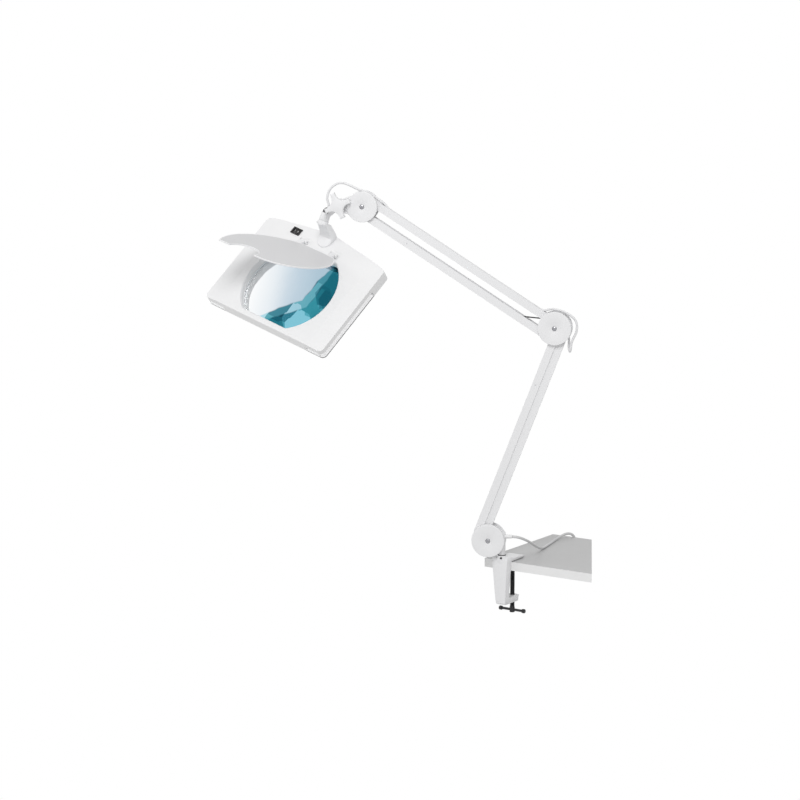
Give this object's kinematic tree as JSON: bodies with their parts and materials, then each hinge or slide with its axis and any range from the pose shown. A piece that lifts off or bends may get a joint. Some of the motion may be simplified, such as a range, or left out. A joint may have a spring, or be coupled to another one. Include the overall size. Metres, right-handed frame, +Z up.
{
  "type": "bench magnifier lamp",
  "caption": "Illuminated bench magnifier: rectangular head with a hinged lens cover and tube lamps on a twin-bar spring arm with a table clamp and mains lead.",
  "frame": {"origin": "on the clamp screw's axis, in the plane of the table top (the lower face of the jaw pad)", "axes": "+Z up along the clamp screw, +Y into the table, +X along the table's edge"},
  "size_m": [0.6407, 0.6282, 0.8128],
  "materials": {
    "white_metal": "satin powder coat",
    "casting": "satin powder coat",
    "white_plastic": "satin",
    "inner_plastic": "satin",
    "black_plastic": "gloss",
    "black_steel": "black oxide",
    "zinc": "zinc plated",
    "chrome": "polished",
    "reflector": "bright",
    "rubber": "matt",
    "gasket": "matt",
    "glass": "clear",
    "clear_plastic": "clear",
    "lamp_glass": "phosphor white",
    "lead": "smooth PVC",
    "cord": "smooth PVC",
    "plate": "blank",
    "board": "board and choke"
  },
  "bodies": {
    "clamp": {"clamp_body": "casting", "jaw_pad": "rubber", "post_bush": "black_plastic", "post_set_screw": "black_steel", "mains_cord": "cord", "cord_coil": "cord", "plug": "white_plastic"},
    "clamp_screw": {"clamp_screw": "black_steel"},
    "pressure_pad": {"pressure_pad": "black_steel"},
    "t_bar": {"screw_t_bar": "black_steel"},
    "base_bracket": {"base_bracket": "white_metal", "base_covers": "white_plastic", "base_cover_screws": "chrome", "base_pivot_pins": "zinc", "cord_strain_relief": "white_plastic"},
    "lower_front_bar": {"lower_front_bar": "white_metal", "lower_spring": "zinc", "lower_spring_rod": "black_steel", "lower_spring_pin": "zinc"},
    "lower_rear_bar": {"lower_rear_bar": "white_metal", "lower_cable": "lead"},
    "elbow": {"elbow_bracket": "white_metal", "elbow_covers": "white_plastic", "elbow_cover_screws": "chrome", "elbow_pivot_pins": "zinc", "elbow_cable": "lead"},
    "upper_top_bar": {"upper_top_bar": "white_metal", "upper_cable": "lead"},
    "upper_bottom_bar": {"upper_bottom_bar": "white_metal", "upper_spring": "zinc", "upper_spring_rod": "black_steel", "upper_spring_pin": "zinc"},
    "knuckle": {"head_knuckle": "white_metal", "knuckle_covers": "white_plastic", "knuckle_cover_screws": "chrome", "knuckle_pivot_pins": "zinc", "clamp_bolt": "zinc", "head_cable": "lead"},
    "star_knob": {"star_knob": "white_plastic"},
    "tilt_hub": {"tilt_hub": "casting"},
    "head": {"neck": "casting", "neck_grommet": "rubber", "top_housing": "white_plastic", "bottom_housing": "white_plastic", "lens_ring": "inner_plastic", "lens_gasket": "gasket", "lens": "glass", "cover_hinge_pins": "zinc", "switch_frame": "black_plastic", "lamps": "lamp_glass", "lamp_bases": "inner_plastic", "lamp_holders": "inner_plastic", "lamp_clips": "zinc", "reflectors": "reflector", "bay_covers": "clear_plastic", "case_screws": "zinc", "ballast": "board", "rating_plate": "plate"},
    "lens_cover": {"lens_cover": "white_plastic"},
    "power_rocker": {"power_rocker": "black_plastic"}
  },
  "joints": [
    {"name": "screw_travel", "type": "slide", "parent": "clamp", "child": "pressure_pad", "axis": [0, 0, 1], "range_m": [-0.042, 0.009]},
    {"name": "screw_turn", "type": "hinge", "parent": "pressure_pad", "child": "clamp_screw", "pos_m": [0, 0, -0.05], "axis": [0, 0, 1], "range_deg": [-10080, 2160]},
    {"name": "t_bar_slide", "type": "slide", "parent": "clamp_screw", "child": "t_bar", "axis": [1, 0, 0], "range_m": [-0.016, 0.016]},
    {"name": "base_swivel", "type": "hinge", "parent": "clamp", "child": "base_bracket", "pos_m": [0, -0.038, 0.014], "axis": [0, 0, 1], "range_deg": [-150, 150], "deforming": ["mains_cord"]},
    {"name": "lower_arm", "type": "hinge", "parent": "base_bracket", "child": "lower_front_bar", "pos_m": [-0.04129, -0.05638, 0.0583], "axis": [0.4067, -0.9135, 0], "range_deg": [-25, 25], "deforming": ["lower_spring", "lower_spring_rod"]},
    {"name": "lower_link", "type": "hinge", "parent": "base_bracket", "child": "lower_rear_bar", "pos_m": [-0.02934, -0.05106, 0.05331], "axis": [0.4067, -0.9135, 0], "range_deg": [-25, 25], "deforming": ["lower_cable"]},
    {"name": "elbow_level", "type": "hinge", "parent": "lower_front_bar", "child": "elbow", "pos_m": [0.08907, 0.00165, 0.43198], "axis": [0.4067, -0.9135, 0], "range_deg": [-25, 25], "deforming": ["elbow_cable"]},
    {"name": "upper_arm", "type": "hinge", "parent": "elbow", "child": "upper_top_bar", "pos_m": [0.08084, -0.00201, 0.45888], "axis": [0.4067, -0.9135, 0], "range_deg": [-30, 65]},
    {"name": "upper_link", "type": "hinge", "parent": "elbow", "child": "upper_bottom_bar", "pos_m": [0.0671, -0.00812, 0.43527], "axis": [0.4067, -0.9135, 0], "range_deg": [-30, 65], "deforming": ["upper_spring", "upper_spring_rod"]},
    {"name": "knuckle_level", "type": "hinge", "parent": "upper_top_bar", "child": "knuckle", "pos_m": [-0.22735, -0.13922, 0.6738], "axis": [0.4067, -0.9135, 0], "range_deg": [-65, 30]},
    {"name": "star_knob_turn", "type": "hinge", "parent": "knuckle", "child": "star_knob", "pos_m": [-0.28051, -0.16289, 0.6654], "axis": [0.4067, -0.9135, 0], "continuous": true},
    {"name": "head_tilt", "type": "hinge", "parent": "knuckle", "child": "tilt_hub", "pos_m": [-0.28051, -0.16289, 0.6654], "axis": [0.4067, -0.9135, 0], "range_deg": [-60, 25], "deforming": ["head_cable"]},
    {"name": "head_swivel", "type": "hinge", "parent": "tilt_hub", "child": "head", "pos_m": [-0.30609, -0.17428, 0.6434], "axis": [0.2823, 0.1257, 0.9511], "range_deg": [-60, 40]},
    {"name": "lens_cover_hinge", "type": "hinge", "parent": "head", "child": "lens_cover", "pos_m": [-0.32317, -0.17241, 0.58329], "axis": [-0.9586, 0.0753, 0.2746], "range_deg": [-47, 43]},
    {"name": "power_switch", "type": "hinge", "parent": "head", "child": "power_rocker", "pos_m": [-0.38681, -0.15244, 0.60693], "axis": [0.2438, 0.7151, 0.6551], "range_deg": [-16, 0]}
  ],
  "couplings": [
    {"joint": "screw_turn", "follows": "screw_travel", "rad_per_m": 4188.8},
    {"joint": "lower_link", "follows": "lower_arm", "ratio": 1},
    {"joint": "elbow_level", "follows": "lower_arm", "ratio": -1},
    {"joint": "upper_link", "follows": "upper_arm", "ratio": 1},
    {"joint": "knuckle_level", "follows": "upper_arm", "ratio": -1}
  ]
}
